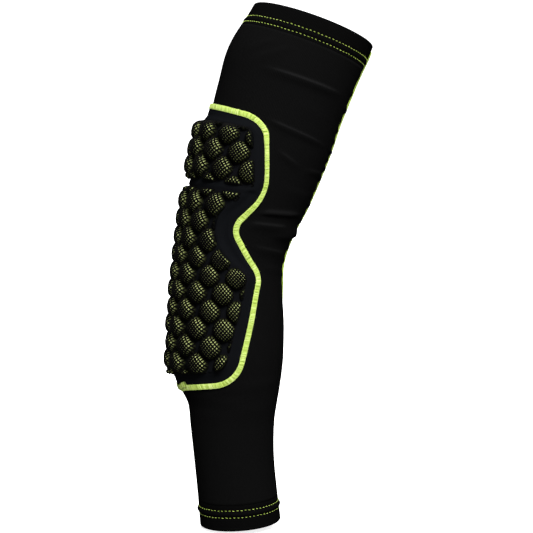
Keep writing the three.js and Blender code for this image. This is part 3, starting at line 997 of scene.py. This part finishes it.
def cross_threads(name, middle, side, up, width, tall, pitch, skip, needle_rows):
    """Threads laid across a strip, closely side by side, with a few left out."""
    strands = Strands()
    n = len(middle)
    width = np.broadcast_to(width, n)
    every = pitch / STRIP_STEP
    on = unit(np.gradient(middle, axis=0))
    place = np.linspace(-1, 1, THREAD_POINTS)
    crown_line = tall * (0.95 - 0.55 * abs(place) ** 4 - 0.10 * np.cos(place * np.pi) ** 2)
    for k in np.arange(every, n - 1 - every, every):
        if rng.random() < skip:
            continue
        i = int(k)
        lean = rng.uniform(*THREAD_LEANS)
        wide = width[i] / 2 * rng.uniform(*THREAD_REACHES)
        line = middle[i] + side[i] * (place * wide)[:, None] + on[i] * (place * lean)[:, None]
        line = line + up[i] * (crown_line + rng.uniform(*THREAD_STRAYS))[:, None]
        shade = np.clip(rng.normal(THREAD_SHADE, THREAD_SHADE_SPREAD), 0.1, 1)
        thick = pitch * rng.uniform(*THREAD_SHARES)
        ups = np.repeat(up[i][None], THREAD_POINTS, 0)
        strands.add(line, ups, thick, THREAD_THICK, sides=4, shade=shade)
    keep = np.arange(1, n - 1, 2)
    phase = keep * STRIP_STEP * FULL_TURN / NEEDLE_PITCH
    for row in needle_rows:
        sway = 0.05 * np.sin(phase + row * 9)
        rise = tall * (1.02 - 0.45 * abs(row) ** 4) + 0.10 * np.sin(phase + row * 5)
        aside = (row + sway) * width[keep] / 2
        line = middle[keep] + side[keep] * aside[:, None] + up[keep] * rise[:, None]
        shade = np.clip(NEEDLE_SHADE + NEEDLE_SHADE_SPAN * drifting(len(keep), 7, 4), 0.2, 1)
        strands.add(line, up[keep], NEEDLE_WIDTH, NEEDLE_THICK, sides=5, shade=shade)
    return strands.build(name, lime)


# The tape round the panel
def resample(ring, step):
    closed = np.vstack([ring, ring[:1]])
    length = distance_along(closed)
    count = int(length[-1] / step)
    at = np.linspace(0, length[-1], count, endpoint=False)
    return np.stack([np.interp(at, length, closed[:, k]) for k in range(2)], 1)


def tape_route():
    """Flat points and lifts along the tape. Its end lies over its start at the bottom, a little higher."""
    ring = resample(np.roll(RING, -len(RING) // 2, 0), STRIP_STEP)
    start = int(np.argmin(np.linalg.norm(ring - [TAPE_START, OUTLINE[-1][1]], axis=1)))
    if ring[(start + 4) % len(ring)][0] < ring[start][0]:
        ring = ring[::-1]
        start = len(ring) - 1 - start
    ring = np.roll(ring, -start, 0)
    overlap = int(TAPE_OVERLAP / STRIP_STEP)
    route = np.vstack([ring, ring[:overlap]])
    gone = np.arange(len(route)) * STRIP_STEP
    left = gone[::-1]
    route[:, 1] += END_RISE * (1 - smooth(left, *END_RISE_OVER))
    route[:, 1] -= START_SINK * (1 - smooth(gone, *START_SINK_OVER))
    return route, END_LIFT * (1 - smooth(left, *END_LIFT_OVER))


def tape_frames(route, lift):
    beside = 0.5
    on = unit(np.gradient(route, axis=0))
    aside = np.stack([on[:, 1], -on[:, 0]], 1) * beside
    middle = pattern(*route.T, lift)
    side = unit(pattern(*(route + aside).T, lift) - pattern(*(route - aside).T, lift))
    up = outward(route[:, 1], pattern_angle(*route.T))
    return middle, side, up


def make_tape():
    route, lift = tape_route()
    frames = tape_frames(route, lift + TAPE_LIFT)
    along = route[:, 1]
    narrow = smooth(along, *NARROW_FROM) * (1 - smooth(along, *NARROW_TO))
    width = TAPE_WIDTH - TAPE_NARROWER * narrow
    base = strip("tape_base", *frames, width, tall=0.95)
    threads = cross_threads(
        "tape_threads", *frames, width, tall=1.05, pitch=0.8, skip=0.05, needle_rows=(-0.78, 0.78),
    )
    return base, threads


# The seam that closes the tube, a narrower flatlock with a wavy edge
def make_seam():
    beside = 0.02
    along = np.arange(SEAM_SHORT, BACK_LENGTH - SEAM_SHORT, STRIP_STEP)
    stray = sum(height * np.sin(along / length + start) for height, length, start in SEAM_RIPPLES)
    stray = stray + SNAKE * np.sin(along / SNAKE_LENGTH) * smooth(along, *SNAKE_OVER)
    stray -= FOREARM_DRIFT * (1 - smooth(along, *FOREARM_DRIFT_OVER))
    stray -= TOP_DRIFT * smooth(along, *TOP_DRIFT_OVER)
    around = math.radians(SEAM_DEGREES) + (stray - SEAM_SHIFT) / PATTERN_RADIUS
    edge = np.minimum(along, BACK_LENGTH - along)
    lift = SEAM_LIFT - SEAM_SINK * (1 - smooth(edge, *SEAM_SINK_OVER))
    middle = skin(along, around, lift)
    side = unit(skin(along, around + beside, lift) - skin(along, around - beside, lift))
    frames = (middle, side, outward(along, around))
    base = strip("seam_base", *frames, SEAM_WIDTH, tall=0.85)
    threads = cross_threads(
        "seam_threads", *frames, SEAM_WIDTH, tall=1.0, pitch=0.7, skip=0.04, needle_rows=(-0.5, 0.5),
    )
    return base, threads


sleeve = make_sleeve()
upper_hem = make_hem("upper_hem_fold", UPPER_EDGE, -1, UPPER_ROWS, HEM_DEPTH + HIGH_REACH, UPPER_PUFF)
lower_hem = make_hem("lower_hem_fold", LOWER_EDGE, 1, LOWER_ROWS, HEM_DEPTH + LOW_REACH, LOWER_PUFF)
upper_stitches = hem_stitches("upper_hem_stitches", UPPER_EDGE, -1, UPPER_ROWS)
lower_stitches = hem_stitches("lower_hem_stitches", LOWER_EDGE, 1, LOWER_ROWS)
panel = make_panel()
upper_pad = make_pad("upper_foam", beyond_upper)
lower_pad = make_pad("lower_foam", beyond_lower)
upper_net = make_net("upper_net", beyond_upper, GROOVE_ALONG, FOAM_HIGHEST)
lower_net = make_net("lower_net", beyond_lower, OUTLINE[-1][1], GROOVE_ALONG)
tape, tape_threads = make_tape()
seam, seam_threads = make_seam()

# What each piece is made of, and which solid it replaces
PIECES = [
    (sleeve, "knit", "sleeve"),
    (upper_hem, "hem", "upper_hem"),
    (lower_hem, "hem", "lower_hem"),
    (upper_stitches, "tape", None),
    (lower_stitches, "tape", None),
    (panel, "panel", "pad_panel"),
    (upper_pad, "foam", "upper_pad"),
    (lower_pad, "foam", "lower_pad"),
    (upper_net, "foam", None),
    (lower_net, "foam", None),
    (tape, "tape", "pad_trim"),
    (tape_threads, "tape", None),
    (seam, "tape", "inner_seam"),
    (seam_threads, "tape", None),
]
for piece, slot, node in PIECES:
    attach(piece, "root")
    if node:
        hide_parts(node)


# Floor and backdrop in one soft bowl, which the camera sees and which throws no light or shade on the part
def make_bowl():
    turn = np.linspace(0, FULL_TURN, BOWL_COLUMNS, endpoint=False)
    profile = [(BOWL_HOLE, BOWL_FLOOR), (0.5 * BOWL_FLAT, BOWL_FLOOR)]
    for a in np.linspace(0, np.pi / 2, BOWL_BEND_RINGS):
        out = BOWL_FLAT + BOWL_BEND * math.sin(a)
        profile.append((out, BOWL_FLOOR + BOWL_BEND * (1 - math.cos(a))))
    profile.append((BOWL_FLAT + BOWL_BEND, BOWL_TOP))
    rings = [
        np.stack([out * np.cos(turn), out * np.sin(turn), np.full(BOWL_COLUMNS, z)], 1)
        for out, z in profile
    ]
    white = plain_material("bowl_white", BOWL_WHITE, roughness=0.9, specular=0.1)
    shader = white.node_tree.nodes["Principled BSDF"]
    set_inputs(shader, {"Emission Color": (1, 1, 1, 1), "Emission Strength": BOWL_GLOW})
    faces = grid_faces(len(profile), BOWL_COLUMNS, wrap_columns=True)[:, ::-1]
    bowl = make_object("bowl", np.vstack(rings), faces, white)
    bowl.visible_diffuse = False
    bowl.visible_glossy = False
    bowl.visible_shadow = False
    return bowl


make_bowl()


# Lights and the world
def area_light(name, place, size, power):
    data = bpy.data.lights.new(name, "AREA")
    data.shape = "DISK"
    data.size = size
    data.energy = power
    light = bpy.data.objects.new(name, data)
    light.location = place
    aim = Vector((TARGET - np.array(place)).tolist())
    light.rotation_euler = aim.to_track_quat("-Z", "Y").to_euler()
    bpy.context.scene.collection.objects.link(light)


for row in LIGHTS:
    area_light(*row)

world = bpy.data.worlds.new("studio")
bpy.context.scene.world = world
world.use_nodes = True
set_inputs(world.node_tree.nodes["Background"], {"Color": (1, 1, 1, 1), "Strength": WORLD_STRENGTH})

# The camera stands as for the photograph
camera_data = bpy.data.cameras.new("camera")
camera_data.lens = LENS
camera_data.sensor_width = SENSOR
camera = bpy.data.objects.new("camera", camera_data)
camera.location = TARGET + DISTANCE * np.array([0.0, -math.cos(PITCH), math.sin(PITCH)])
camera.rotation_euler = (math.pi / 2 - PITCH, 0.0, 0.0)
bpy.context.scene.collection.objects.link(camera)
bpy.context.scene.camera = camera
bpy.context.scene.view_settings.view_transform = "Standard"
